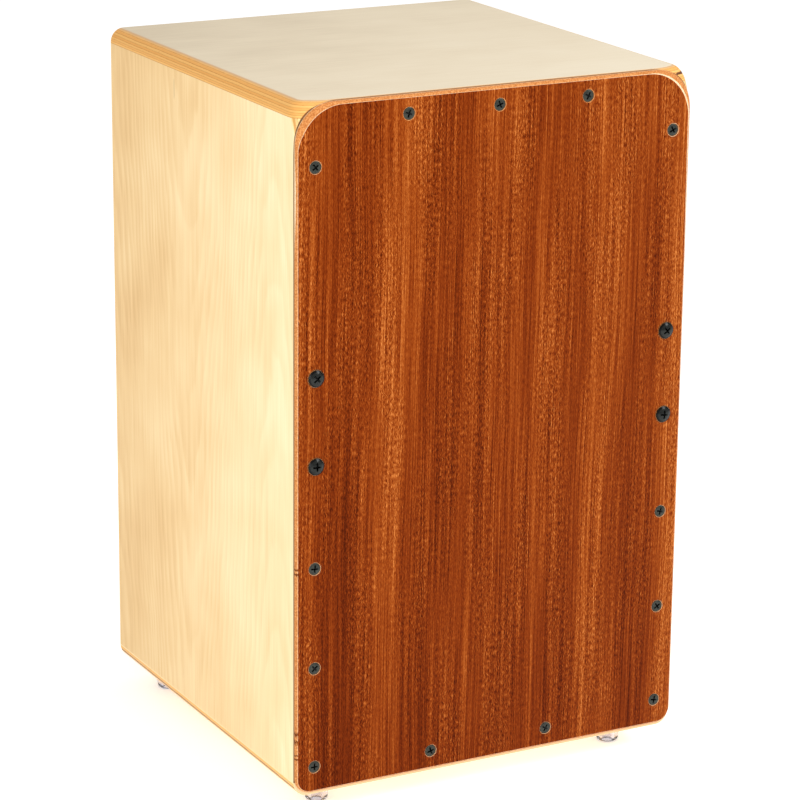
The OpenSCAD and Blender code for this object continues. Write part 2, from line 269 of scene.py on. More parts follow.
PLY_MM = 1.5
AMBER_PLIES = ((240, 184, 104), (232, 168, 88), (210, 140, 64), (184, 114, 46))
PALE_PLIES = ((250, 214, 150), (238, 188, 118), (214, 158, 92), (178, 122, 66))
BIRCH_TONES = ((206, 158, 92), (224, 182, 120), (237, 200, 140), (246, 216, 162), (252, 230, 182),
               (255, 241, 204))
MAHOGANY_TONES = ((62, 13, 1), (93, 28, 2), (119, 44, 6), (143, 63, 15), (171, 89, 32), (208, 125, 60))
SEAT_TONES = ((208, 192, 165), (221, 206, 179), (228, 215, 190))

# Knots in the plate's left edge as (height, size), in millimetres
KNOTS = ((181, 5), (62, 9), (48, 4))

# Heights in millimetres between which the plate's corners are sanded down to the core, and
# where its back ply turns from tan to cream and back
SANDED = (464, 478)
CREAM_RISE = (385, 430)
CREAM_FALL = (472, 440)


def mahogany_plate():
    """Plate: ribbon-figured veneer on its face, and its plies along the rounded edge."""
    s = Shader("mahogany_plate", Roughness=0.42, Specular_IOR_Level=0.15)
    s.bsdf.inputs["Specular Tint"].default_value = linear((255, 150, 70))
    depth = s.y - PLATE_LOW.y * 1000
    across = s.x + s.noise(s.x * 0.012, s.z * 0.004, detail=1) * 9 - (s.z - 250) * 0.012
    ribbons = s.noise(across * 0.03, s.z * 0.0008, 41.0, detail=2, rough=0.6).rise(-0.22, 0.22)
    streaks = s.noise(across * 0.2, s.z * 0.0022, 3.0, detail=4, rough=0.7)
    lines = s.noise(across * 1.15, s.z * 0.007, 7.0, detail=3, rough=0.8)
    warp = s.noise(s.x * 0.09, s.z * 0.13, 21.0, detail=1) * 4.5
    fleck = s.noise((s.x + warp) * 1.75, s.z * 0.3, 5.0, detail=2, rough=0.7)
    pores = s.noise((s.x + warp) * 1.7, s.z * 0.4, 15.0, detail=1)
    figure = s.noise(across * 0.05, s.z * 0.005, 33.0, detail=2).rise(-0.14, 0.14)
    # Painted light: the last two terms make the face lighter towards the top and towards the right.
    tone = (
        0.46 + (ribbons - 0.5) * 0.29 + streaks * 1.0 + lines * 1.6 + fleck * (0.9 + figure * 1.5)
        + (s.z - 260) * 0.0003 + s.x * 0.0005
    )
    veneer = s.tones(tone, MAHOGANY_TONES)
    pore_mask = pores.rise(0.12, 0.24)
    veneer = s.mix(pore_mask * 0.45, veneer, (92, 28, 5))

    fuzz = s.noise(s.x * 0.5, s.y * 0.5, s.z * 0.5, detail=2)
    level = depth + fuzz * 0.16
    sanded = s.z.rise(*SANDED).most(s.x.rise(120, 140) * s.z.rise(360, 440))
    veneer_depth = 0.17 - sanded * 0.148
    skin_depth = depth / veneer_depth + fuzz * 0.3
    cream_end = 1.35 + s.x.rise(95, 140) * sanded * 5
    grain = s.noise(s.x * 0.9, s.y * 0.9, s.z * 0.9, detail=3)
    core = s.mix(grain.rise(-0.2, 0.25), (182, 110, 56), (224, 156, 94))
    cream = s.mix(grain.rise(-0.2, 0.2), (228, 190, 144), (246, 220, 184))
    patch = s.noise(s.z * 0.02, s.x * 0.01, 4.0) * 30
    pale_back = (s.z + patch).rise(*CREAM_RISE)
    back_start = 2.1 - pale_back * s.z.rise(*CREAM_FALL) * 0.95
    edge = s.mix((skin_depth - cream_end).rise(0.0, 0.4), cream, core)
    edge = s.mix((level - back_start).rise(0.0, 0.16), edge, s.mix(pale_back, core, cream))
    first, second, third = (knot_mask(s, height, size) for height, size in KNOTS)
    edge = s.mix((first + second + third).least(1.0), edge, (106, 52, 22))
    # Painted shade: the back of the edge, next to the box, is dark brown for the shade in the groove behind the
    # plate.
    edge = s.mix(level.rise(2.55, 2.7), edge, (78, 46, 22))
    s.colour(s.mix(skin_depth.rise(0.92, 1.12), veneer, edge))
    s.roughness(0.40 + fleck * 0.18)
    s.bump(0.5 + lines * 0.5 + fleck * 0.8 - pore_mask * 0.3, 0.00005)
    return s.material


def knot_mask(s, height, size):
    """Dark ring-shaped mark in the plate's left edge; height and size are in millimetres."""
    warp = s.noise(s.x * 0.8, s.y * 0.6, s.z * 0.6) * size * 0.7
    near = (s.z - height + warp).abs().rise(size * 0.62, size * 0.3)
    ring = (s.z - height + warp).abs().rise(size * 0.1, size * 0.26)
    return near * ring * s.x.rise(-145.5, -147)


def birch_veneer(name, along, across, seed, valley, paler):
    """Shader with a pale birch face: fine grain along one axis and soft cathedral arcs.

    The arcs open one way around the valley and the other way half a wave beside it; paler is how
    much paler the low end of the width is painted than the other end, a painted gradient of light.
    """
    s = Shader(name, Roughness=0.46, Specular_IOR_Level=0.3)
    run = getattr(s, along)
    side = getattr(s, across)
    drift = s.noise(side * 0.016, run * 0.006, seed, detail=2) * 22
    wobble = s.noise(side * 0.06, run * 0.02, seed + 4, detail=2) * 0.9
    wave_length, ring_rise, ring_count = 276, 62, 8
    swing = ((side + drift - valley) * (2 * math.pi / wave_length) - QUARTER).sin()
    rings = (swing * ring_count - run / ring_rise + wobble).fraction()
    arcs = rings.rise(0.05, 0.72) * rings.rise(1.0, 0.8)
    # Painted light: the low end of the width is painted paler, for the brighter light there.
    pale = side.rise(160, -150) * paler
    weight = s.noise(side * 0.012, run * 0.006, seed + 8, detail=1).rise(-0.2, 0.12)
    fibre = s.noise(side * 1.3, run * 0.012, seed + 2, detail=3, rough=0.7)
    silk = s.noise(side * 0.16, run * 0.004, seed + 6, detail=2, rough=0.6)
    cloud = s.noise(side * 0.013, run * 0.011, seed + 9, detail=2)
    tone = 0.4 + pale + fibre * 0.5 + silk * 0.28 + cloud * 0.6 - arcs * weight * 0.11
    face = s.tones(tone, BIRCH_TONES)
    pin = s.noise(side * 0.35, run * 0.03, seed + 12, detail=1).rise(0.27, 0.33)
    face = s.mix(pin * 0.25, face, (214, 168, 110))
    s.bump(0.5 + fibre * 0.7, 0.00003)
    return s, face


def ply_edge(s, depth, tones, seed):
    """Colour of a cut ply stack by depth below its face, in millimetres."""
    along = s.noise(s.x * 0.05, s.y * 0.05, s.z * 0.05 + seed, detail=2) * 0.5
    fuzz = s.noise(s.x * 0.5, s.y * 0.5, s.z * 0.5 + seed, detail=3) * 0.28
    level = (depth + along + fuzz) / PLY_MM
    layer = level.floor()
    within = level - layer
    parity = (layer * 0.5).fraction() * 2
    odd = s.noise(layer * 3.7, seed, 0.5, detail=0) * 0.9
    streak = s.noise(s.x * 0.3, s.y * 0.3, s.z * 1.6 + seed, detail=3, rough=0.7)
    light, mid, dark, glue = tones
    colour = s.mix((parity * 0.85 + odd + streak * 0.8).least(1.0).most(0.0), light, mid)
    colour = s.mix(streak.rise(0.06, 0.3) * 0.7, colour, dark)
    line = within.rise(0.72, 0.85) * within.rise(1.0, 0.95)
    return s.mix(line * (0.6 + streak), colour, glue)


def seat_panel_material():
    """Seat: matt cream-beige face with faint streaks over amber plies."""
    s = Shader("seat_ply", Roughness=0.62, Specular_IOR_Level=0.3)
    depth = SEAT_HIGH.z * 1000 - s.z
    streak = s.noise(s.x * 0.02, s.y * 0.45, 3.0, detail=3, rough=0.6)
    cloud = s.noise(s.x * 0.012, s.y * 0.02, 9.0, detail=3)
    # Painted light: the last two terms make the face lighter towards the right and towards the front.
    tone = 0.5 + streak * 0.7 + cloud * 0.9 + s.x * 0.0013 - s.y * 0.0014
    face = s.tones(tone, SEAT_TONES)
    edge = ply_edge(s, depth, AMBER_PLIES, 2.0)
    blur = s.noise(s.x * 0.15, s.y * 0.08, s.z * 0.3, detail=3) * 0.5
    fray = s.noise(s.x * 0.3, s.y * 0.3, 6.0, detail=2) * 1.2
    edge = s.mix((depth + blur).rise(1.3, 0.3), edge, (208, 166, 120))
    edge = s.mix(depth.rise(10.1, 10.3), edge, (196, 136, 60))
    split_depth = 5.2
    split = (depth + fray - split_depth).abs().rise(0.9, 0.6) * (s.y - FRONT * 1000).rise(12, 8)
    edge = s.mix(split * s.x.rise(138.5, 140), edge, (104, 58, 24))
    colour = s.mix((depth + blur * 0.2).rise(0.08, 0.42), face, edge)
    limit = 1.6 - s.x.abs().rise(118, 132) * 1.1
    s.colour(s.mix(joint_shadow(s, limit), colour, (140, 88, 42)))
    s.bump(0.5 + streak * 0.5 + s.noise(s.x * 1.1, s.y * 1.1, s.z * 1.1, detail=2) * 0.5, 0.00004)
    return s.material


def joint_shadow(s, limit):
    """Mask of the dark line in the groove behind the plate, as deep along Y as the limit."""
    return ((s.y - FRONT * 1000) / limit).rise(1.15, 0.8)


def base_panel_material():
    """Bottom panel: birch underside over amber plies."""
    s, face = birch_veneer("base_ply", "x", "y", 40.0, -30, 0.2)
    depth = s.z - BASE_LOW.z * 1000
    edge = ply_edge(s, depth, AMBER_PLIES, 6.0)
    fray = s.noise(s.x * 0.1, s.y * 0.1, s.z * 0.1, detail=3) * 0.7 + depth
    edge = s.mix(fray.rise(4.0, 4.5), edge, (236, 196, 140))
    edge = s.mix(fray.rise(5.4, 5.9), edge, (140, 92, 42))
    edge = s.mix(fray.rise(6.8, 7.3), edge, (244, 188, 106))
    edge = s.mix(fray.rise(9.3, 9.7), edge, (252, 224, 170))
    edge = s.mix((s.y - FRONT * 1000).rise(1.2, 0.6), edge, (242, 208, 158))
    s.colour(s.mix(depth.rise(0.2, 0.3), face, edge))
    return s.material


def side_panel_material():
    """Side panel: birch on both faces, plies at its ends, and one short check in the left one."""
    s, face = birch_veneer("birch_ply", "z", "y", 12.0, 20, 0.3)
    depth = HALF_W * 1000 - s.x.abs()
    thick = (SIDE_HIGH.x - SIDE_LOW.x) * 1000
    edge = ply_edge(s, depth - 0.5, PALE_PLIES, 3.0)
    second = depth.rise(0.75, 0.95) * depth.rise(1.9, 1.7)
    edge = s.mix(second, edge, (216, 160, 88))
    inside = depth.rise(0.35, 0.6) * depth.rise(thick - 0.2, thick - 0.45)
    colour = s.mix(inside, face, edge)
    check_y, check_z = 41, 474
    check = (s.y - check_y).abs().rise(0.5, 0.15) * (s.z - check_z).abs().rise(8, 5)
    colour = s.mix(check * s.x.rise(-140, -149) * 0.7, colour, (150, 118, 74))
    limit = 1.15 - s.z.rise(462, 476) * 0.65
    s.colour(s.mix(joint_shadow(s, limit), colour, (122, 84, 42)))
    return s.material


def back_panel_material():
    """Back panel: birch faces, plies at the sound hole's edge."""
    s, face = birch_veneer("back_ply", "z", "x", 70.0, 35, 0.2)
    depth = BACK_HIGH.y * 1000 - s.y
    thick = (BACK_HIGH.y - BACK_LOW.y) * 1000
    edge = ply_edge(s, depth, PALE_PLIES, 9.0)
    inside = depth.rise(0.3, 0.5) * depth.rise(thick - 0.3, thick - 0.5)
    s.colour(s.mix(inside, face, edge))
    return s.material


def plain_wood(name, along, light, dark, seed):
    """Solid timber: growth lines and fibre along one axis."""
    s = Shader(name, Roughness=0.5, Specular_IOR_Level=0.4)
    squeeze = {axis: 0.02 if axis == along else 0.35 for axis in "xyz"}
    fine = {axis: 0.03 if axis == along else 1.4 for axis in "xyz"}
    soft = s.noise(*(getattr(s, axis) * squeeze[axis] + seed for axis in "xyz"), detail=3, rough=0.6)
    fibre = s.noise(*(getattr(s, axis) * fine[axis] + seed for axis in "xyz"), detail=2, rough=0.7)
    lines = ((soft * 5).fraction() - 0.5).abs() * 2
    s.colour(s.mix((lines * 0.55 + fibre * 0.9 + soft * 0.8 + 0.2).least(1.0).most(0.0), light, dark))
    s.bump(0.5 + fibre * 0.8, 0.00006)
    return s.material


# ---------------------------------------------------------------- materials: metal and rubber

def metal(name, tone, rough, seed, worn, metallic=1.0, recess=None):
    """Metal with fine mottling in its finish; worn is the colour that shows through.

    Recess is the y in millimetres behind which the driver recess is painted near-black as painted shade.
    """
    s = Shader(name, Metallic=metallic)
    fine = s.noise(s.x * 1.8, s.y * 1.8, s.z * 1.8 + seed, detail=3, rough=0.6)
    broad = s.noise(s.x * 0.25, s.y * 0.25, s.z * 0.25 + seed, detail=2)
    colour = s.mix((fine * 1.2 + broad * 0.8 + 0.3).least(1.0).most(0.0), tone, worn)
    if recess is not None:
        # Painted shade: the hollow of the driver recess is coloured near-black.
        colour = s.mix(s.y.rise(recess - 0.2, recess), colour, (4, 4, 4))
    s.colour(colour)
    s.roughness(rough + fine * 0.25)
    s.bump(0.5 + fine * 0.6, 0.00002)
    return s.material


def clear_rubber():
    """Clear soft plastic, faintly smoky, with a slightly uneven surface."""
    s = Shader("clear_rubber", IOR=1.46)
    s.bsdf.inputs["Transmission Weight"].default_value = 1.0
    haze = s.noise(s.x * 0.3, s.y * 0.3, s.z * 0.3, detail=3)
    s.colour(s.mix(haze.rise(-0.25, 0.25), (224, 218, 226), (240, 236, 240)))
    s.roughness(0.2 + haze * 0.1)
    s.bump(0.5 + haze, 0.00004)
    return s.material


# ---------------------------------------------------------------- mesh helpers

def make_mesh(name, points, faces, sharp=SHARP):
    """Mesh with outward faces, smooth except across edges sharper than an angle in degrees."""
    mesh = bpy.data.meshes.new(name)
    mesh.from_pydata(points, [], faces)
    tidy = bmesh.new()
    tidy.from_mesh(mesh)
    bmesh.ops.remove_doubles(tidy, verts=tidy.verts, dist=1e-7)
    bmesh.ops.dissolve_degenerate(tidy, edges=tidy.edges, dist=1e-7)
    bmesh.ops.recalc_face_normals(tidy, faces=tidy.faces)
    tidy.to_mesh(mesh)
    tidy.free()
    mesh.shade_smooth()
    mesh.set_sharp_from_angle(angle=math.radians(sharp))
    return mesh


def make_piece(name, mesh, material, slot, body, node):
    """Puts a mesh in the scene as a piece that rides on a body and stands for a CAD node."""
    piece = bpy.data.objects.new(name, mesh)
    bpy.context.scene.collection.objects.link(piece)
    mesh.materials.clear()
    mesh.materials.append(material)
    flat = piece.modifiers.new("flat_faces", "WEIGHTED_NORMAL")
    flat.keep_sharp = True
    flat.weight = 100
    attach(piece, body)
    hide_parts(node)


def loft(rings, closed=False):
    """Points and faces through rings of equally many points; open lofts get end caps."""
    count = len(rings[0])
    points = [point for ring in rings for point in ring]
    spans = len(rings) if closed else len(rings) - 1
    faces = []
    for k in range(spans):
        here, after = k * count, (k + 1) % len(rings) * count
        for i in range(count):
            j = (i + 1) % count
            faces.append((here + i, here + j, after + j, after + i))
    if not closed:
        faces.append(tuple(range(count)))
        faces.append(tuple(range(len(points) - count, len(points))))
    return points, faces


def cut(mesh, cutter):
    """Mesh with another mesh's volume taken out of it."""
    body, tool = (bpy.data.objects.new("cut", m) for m in (mesh, cutter))
    for one in (body, tool):
        bpy.context.scene.collection.objects.link(one)
    step = body.modifiers.new("cut", "BOOLEAN")
    step.operation = "DIFFERENCE"
    step.solver = "EXACT"
    step.object = tool
    graph = bpy.context.evaluated_depsgraph_get()
    made = bpy.data.meshes.new_from_object(body.evaluated_get(graph))
    for one in (body, tool):
        bpy.data.objects.remove(one)
    made.shade_smooth()
    made.set_sharp_from_angle(angle=math.radians(SHARP))
    return made


def join(parts):
    """One list of points and faces from several."""
    points, faces = [], []
    for some_points, some_faces in parts:
        start = len(points)
        points += some_points
        faces += [tuple(start + i for i in face) for face in some_faces]
    return points, faces


def circle(radius, y, sides):
    """Ring of points about the Y axis."""
    turns = (2 * math.pi * i / sides for i in range(sides))
    return [(radius * math.cos(turn), y, radius * math.sin(turn)) for turn in turns]


def lathe(profile, sides):
    """Closed solid of revolution about Y: profile is (radius, y) from end to end."""
    return loft([circle(radius, y, sides) for radius, y in profile])


def mesh_parts(mesh, moves):
    """Points and faces of one mesh repeated under several matrices."""
    faces = [tuple(p.vertices) for p in mesh.polygons]
    return join([([tuple(move @ v.co) for v in mesh.vertices], faces) for move in moves])


def islands(node):
    """Boxes (low, high) of the separate solids of a CAD node, found by their distance across Y."""
    apart = 12 * MM
    groups = []
    for vertex in frame["nodes"][node].data.vertices:
        p = vertex.co
        for group in groups:
            if math.hypot(p.x - group[0].x, p.z - group[0].z) < apart:
                group.append(p)
                break
        else:
            groups.append([p])
    return [
        (Vector(min(p[i] for p in g) for i in range(3)), Vector(max(p[i] for p in g) for i in range(3)))
        for g in groups
    ]


# ---------------------------------------------------------------- the box

# Middle of the plate's upper right corner arc, the seat's height over the plate, and the
# stages of the box's sweep: each is an end and an angle round that end's arris
ARC_X = HALF_W - PLATE_R
ARC_Z = PLATE_HIGH.z - PLATE_R
TOP_GAP = SEAT_HIGH.z - PLATE_HIGH.z
LIFTS = [math.radians(a) for a in (0, 8, 17, 27, 38, 50, 62, 75, 90)]
STAGES = [("front", lift) for lift in LIFTS] + [("rear", lift) for lift in reversed(LIFTS[::2])]


def reach(turn, margin=0.0):
    """Distance from the middle of the plate's corner arc to the box's outline, at an angle."""
    side = PLATE_R - margin
    top = PLATE_R + TOP_GAP - margin
    round_x = PLATE_R - EDGE_R
    round_z = PLATE_R + TOP_GAP - EDGE_R
    if side * math.tan(turn) <= round_z:
        return side / math.cos(turn)
    if top / math.tan(turn) <= round_x:
        return top / math.sin(turn)
    away = math.hypot(round_x, round_z)
    off = turn - math.atan2(round_z, round_x)
    return away * math.cos(off) + math.sqrt((EDGE_R - margin) ** 2 - (away * math.sin(off)) ** 2)


def upper_point(stage, turn):
    """Point of the box's upper right outline: turn is 0 at the side and a quarter turn on top."""
    end, lift = stage
    if end == "rear":
        radius = reach(turn, REAR_ARRIS * (1 - math.sin(lift)))
        y = REAR - REAR_ARRIS * (1 - math.cos(lift))
    else:
        full = reach(turn)
        share = turn / QUARTER
        inset = SIDE_ARRIS + (TOP_ARRIS - SIDE_ARRIS) * share
        radius = full - (full - PLATE_R + inset) * (1 - math.sin(lift))
        y = FRONT + (CORNER_RUN * (full - PLATE_R) + inset) * (1 - math.cos(lift))
    return (ARC_X + radius * math.cos(turn), y, ARC_Z + radius * math.sin(turn))


def joint_turn(stage):
    """Angle at which the outline crosses the joint between side panel and seat."""
    low, high = 0.0, QUARTER
    for _ in range(40):
        middle = (low + high) / 2
        if upper_point(stage, middle)[2] < SEAT_LOW.z:
            low = middle
        else:
            high = middle
    return high


def edge_margin(stage):
    """Plain arris of a stage: how far in, and where along Y."""
    end, lift = stage
    if end == "rear":
        return REAR_ARRIS * (1 - math.sin(lift)), REAR - REAR_ARRIS * (1 - math.cos(lift))
    return SIDE_ARRIS * (1 - math.sin(lift)), FRONT + SIDE_ARRIS * (1 - math.cos(lift))


def mirrored(points):
    """The same points on the other side of the middle, in reverse."""
    return [(-x, y, z) for x, y, z in reversed(points)]


def seat_ring(stage):
    """Outline of the seat panel at a stage, open along its lower face."""
    steps = 22
    start = joint_turn(stage)
    right = [upper_point(stage, start + (QUARTER - start) * i / steps) for i in range(steps + 1)]
    return right + mirrored(right)


def side_ring(stage, side):
    """Outline of a side panel at a stage; side is 1 for the right one and -1 for the left."""
    steps = 16
    end = joint_turn(stage)
    margin, y = edge_margin(stage)
    outer = [(HALF_W - margin, y, SIDE_LOW.z)]
    outer += [upper_point(stage, end * i / steps) for i in range(steps + 1)]
    inner = [(SIDE_LOW.x, outer[-1][1], SIDE_HIGH.z), (SIDE_LOW.x, y, SIDE_LOW.z)]
    return [(side * px, py, pz) for px, py, pz in outer + inner]


def base_ring(stage):
    """Outline of the bottom panel at a stage."""
    steps = 14
    margin, y = edge_margin(stage)
    middle_x, middle_z, radius = HALF_W - EDGE_R, BASE_LOW.z + EDGE_R, EDGE_R - margin
    right = [(HALF_W - margin, y, BASE_HIGH.z)]
    for i in range(steps + 1):
        turn = -QUARTER * i / steps
        right.append((middle_x + radius * math.cos(turn), y, middle_z + radius * math.sin(turn)))
    return right + mirrored(right)


def make_box(birch, seat, base, back):
    """The five birch panels, each swept from front to rear with its rounded edges."""
    body = "cajon_box"
    panels = (
        ("seat_panel", seat_ring, seat, "seat_ply", "top_panel"),
        ("base_panel", base_ring, base, "birch_ply", "bottom_panel"),
        ("side_panel_left", lambda stage: side_ring(stage, -1), birch, "birch_ply", "left_side_panel"),
        ("side_panel_right", lambda stage: side_ring(stage, 1), birch, "birch_ply", "right_side_panel"),
    )
    for name, ring, material, slot, node in panels:
        mesh = make_mesh(name, *loft([ring(stage) for stage in STAGES]))
        make_piece(name, mesh, material, slot, body, node)
    make_piece("back_panel_with_hole", back_mesh(), back, "back_ply", body, "back_panel")


def back_mesh():
    """Flat panel whose outline and round hole are joined by one ring of quads at each stage."""
    middle_x = (BACK_LOW.x + BACK_HIGH.x) / 2
    middle_z = frame_hole_height()
    arris = 0.4 * MM
    corners = [math.atan2(z - middle_z, x - middle_x)
               for x, z in ((BACK_HIGH.x, BACK_LOW.z), (BACK_HIGH.x, BACK_HIGH.z),
                            (BACK_LOW.x, BACK_HIGH.z), (BACK_LOW.x, BACK_LOW.z))]
    corners.append(corners[0] + 2 * math.pi)
    corners[3] += 2 * math.pi
    steps = 30
    turns = [a + (b - a) * i / steps for a, b in zip(corners, corners[1:]) for i in range(steps)]

    def outline(turn, margin, y):
        across, up = math.cos(turn), math.sin(turn)
        sideways = (BACK_HIGH.x - margin - middle_x) if across > 0 else (middle_x - BACK_LOW.x - margin)
        upright = (BACK_HIGH.z - margin - middle_z) if up > 0 else (middle_z - BACK_LOW.z - margin)
        length = min(sideways / max(abs(across), 1e-9), upright / max(abs(up), 1e-9))
        return (middle_x + length * across, y, middle_z + length * up)

    def hole(turn, radius, y):
        return (middle_x + radius * math.cos(turn), y, middle_z + radius * math.sin(turn))

    near, far = BACK_LOW.y, BACK_HIGH.y
    outer = [(arris, far), (0, far - arris), (0, near + arris), (arris, near)]
    rings = [[outline(turn, margin, y) for turn in turns] for margin, y in outer]
    bends = [math.radians(a) for a in (0, 18, 36, 54, 72, 90)]
    for face, sign, sweep in ((near, 1, bends), (far, -1, bends[::-1])):
        for bend in sweep:
            radius = HOLE_R + HOLE_ARRIS * (1 - math.sin(bend))
            y = face + sign * HOLE_ARRIS * (1 - math.cos(bend))
            rings.append([hole(turn, radius, y) for turn in turns])
    return make_mesh("back_panel_with_hole", *loft(rings, closed=True))


def frame_hole_height():
    """Height of the sound hole's middle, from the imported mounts."""
    mounts = {m["name"]: m for m in frame["record"]["mounts"]}
    return mounts["sound_hole"]["pos_m"][2]


# ---------------------------------------------------------------- the playing plate

def plate_ring(margin, y):
    """Outline of the plate pulled in by a margin; its corners change radius towards the face."""
    steps = 20
    share = max(margin, 0) / PLATE_ARRIS
    top_r = PLATE_R + (FACE_R - PLATE_R) * share
    low_r = PLATE_LOW_R + (FACE_LOW_R - PLATE_LOW_R) * share
    right, top, low = HALF_W - margin, PLATE_HIGH.z - margin, PLATE_LOW.z + margin
    corners = ((right - low_r, low + low_r, low_r, -QUARTER), (right - top_r, top - top_r, top_r, 0),
               (top_r - right, top - top_r, top_r, QUARTER), (low_r - right, low + low_r, low_r, 2 * QUARTER))
    return [
        (x + r * math.cos(first + QUARTER * i / steps), y, z + r * math.sin(first + QUARTER * i / steps))
        for x, z, r, first in corners for i in range(steps + 1)
    ]


def make_plate(material, screws, bolts):
    """The plate with its rounded arris, countersinks for the screws and eased holes for the bolts."""
    back_arris = 0.45 * MM
    front, back = PLATE_LOW.y, FRONT
    bends = [math.radians(a) for a in (0, 12, 24, 36, 48, 60, 70, 80, 90)]
    rings = [plate_ring(back_arris, back), plate_ring(0, back - back_arris)]
    for bend in bends:
        y = front + PLATE_ARRIS * (1 - math.sin(bend))
        rings.append(plate_ring(PLATE_ARRIS * (1 - math.cos(bend)), y))
    blank = make_mesh("blank", *loft(rings))
    over, through, sides = 0.5 * MM, 4 * MM, 48
    sink_r, screw_r, sink_end = 4.75 * MM, 2.3 * MM, 2.45 * MM
    ease_r, flat_r, bolt_r, flat_depth = 6.3 * MM, 5.7 * MM, 2.6 * MM, 0.6 * MM
    screw_hole = [(sink_r + over, -over), (screw_r, sink_end), (screw_r, through)]
    bolt_hole = [(ease_r + over, -over), (flat_r, flat_depth), (bolt_r, flat_depth + 0.02 * MM),
                 (bolt_r, through)]
    parts = []
    for places, profile in ((screws, screw_hole), (bolts, bolt_hole)):
        for low, high in places:
            x, z = (low.x + high.x) / 2, (low.z + high.z) / 2
            points, faces = lathe(profile, sides)
            parts.append(([(x + px, front + py, z + pz) for px, py, pz in points], faces))
    cutter = make_mesh("cutter", *join(parts))
    mesh = cut(blank, cutter)
    make_piece("playing_plate", mesh, material, "mahogany_plate", "cajon_box", "front_plate")


# ---------------------------------------------------------------- screws and bolts

def cross_cutter(arm, blade, depth):
    """Tapered cross that cuts a driver recess from y = 0 inwards."""
    def ring(scale_arm, scale_blade, y):
        a, b = arm / 2 * scale_arm, blade / 2 * scale_blade
        flat = [(a, b), (b, b), (b, a), (-b, a), (-b, b), (-a, b),
                (-a, -b), (-b, -b), (-b, -a), (b, -a), (b, -b), (a, -b)]
        return [(x, y, z) for x, z in flat]
    return make_mesh("cross", *loft([ring(1.12, 1.06, -0.1 * depth), ring(0.42, 0.7, depth)]))


def threaded(profile, pitch, height, start, end, per_turn=6):
    """Rings of a head's lathe profile followed by a threaded shank from start to end."""
    shank_r = profile[-1][0]
    rings = [circle(radius, y, SHANK_SIDES) for radius, y in profile]
    steps = int((end - start) / pitch * per_turn)
    for k in range(steps + 1):
        y = start + (end - start) * k / steps
        fade = min(1.0, k / per_turn, (steps - k) / per_turn)
        ring = []
        for i in range(SHANK_SIDES):
            phase = (y / pitch - i / SHANK_SIDES) % 1.0
            crest = max(0.0, 1 - abs(phase - 0.5) * 4) * fade
            radius = shank_r + (crest - 0.5) * height
            turn = 2 * math.pi * i / SHANK_SIDES
            ring.append((radius * math.cos(turn), y, radius * math.sin(turn)))
        rings.append(ring)
    return rings


def plate_screw_mesh(length):
    """Countersunk cross-head wood screw along +Y, the middle of its head at the origin."""
    head = [(0.3, 0), (2.6, 0.02), (3.5, 0.12), (4.05, 0.3), (4.3, 0.52), (4.28, 0.66), (2.1, 2.5),
            (1.75, 3.2)]
    point = ((1.2, 1.6), (0.5, 0.4), (0.15, 0))
    pitch, thread, start, end = 1.8 * MM, 0.7 * MM, 4 * MM, length - 3 * MM
    rings = threaded([(radius * MM, y * MM) for radius, y in head], pitch, thread, start, end)
    for radius, back in point:
        rings.append(circle(radius * MM, length - back * MM, SHANK_SIDES))
    return cut(make_mesh("plate_screw", *loft(rings)), cross_cutter(5.4 * MM, 1.2 * MM, 1.9 * MM))


def bolt_mesh(length):
    """Dome-headed cross-head machine screw along +Y, the top of its dome at the origin."""
    rise, rim, head_r, steps = 1.9, 2.35, 5.8, 8
    dome_r = (head_r ** 2 + rise ** 2) / (2 * rise)
    head = []
    for k in range(1, steps + 1):
        along = math.asin(head_r / dome_r) * k / steps
        head.append((dome_r * math.sin(along), dome_r * (1 - math.cos(along))))
    head += [(head_r, rim), (5.6, 2.6), (2.6, 2.6), (2.3, 2.9)]
    pitch, thread, start, end = 0.8 * MM, 0.4 * MM, 4 * MM, length - 1 * MM
    rings = threaded([(radius * MM, y * MM) for radius, y in head], pitch, thread, start, end, per_turn=5)
    rings.append(circle(1.7 * MM, length, SHANK_SIDES))
    return cut(make_mesh("bolt", *loft(rings)), cross_cutter(6.4 * MM, 1.35 * MM, 2.5 * MM))


def place_fasteners(name, places, template, material, slot, node, proud=0.0):
    """Copies of one fastener at the CAD solids' places, each turned by the golden angle."""
    golden = 2.39996
    moves = []
    for i, (low, high) in enumerate(places):
        spot = Matrix.Translation(((low.x + high.x) / 2, low.y - proud, (low.z + high.z) / 2))
        moves.append(spot @ Matrix.Rotation(i * golden, 4, "Y"))
    mesh = make_mesh(name, *mesh_parts(template, moves))
    make_piece(name, mesh, material, slot, "cajon_box", node)


# ---------------------------------------------------------------- the snare

def on_bar():
    """Matrix from the bar's own frame, with +Z along the leaning wires, to the shared frame."""
    joint = frame["joints"][0]
    return Matrix.Translation(joint["pos_m"]) @ Matrix.Rotation(WIRE_LEAN, 4, "X")


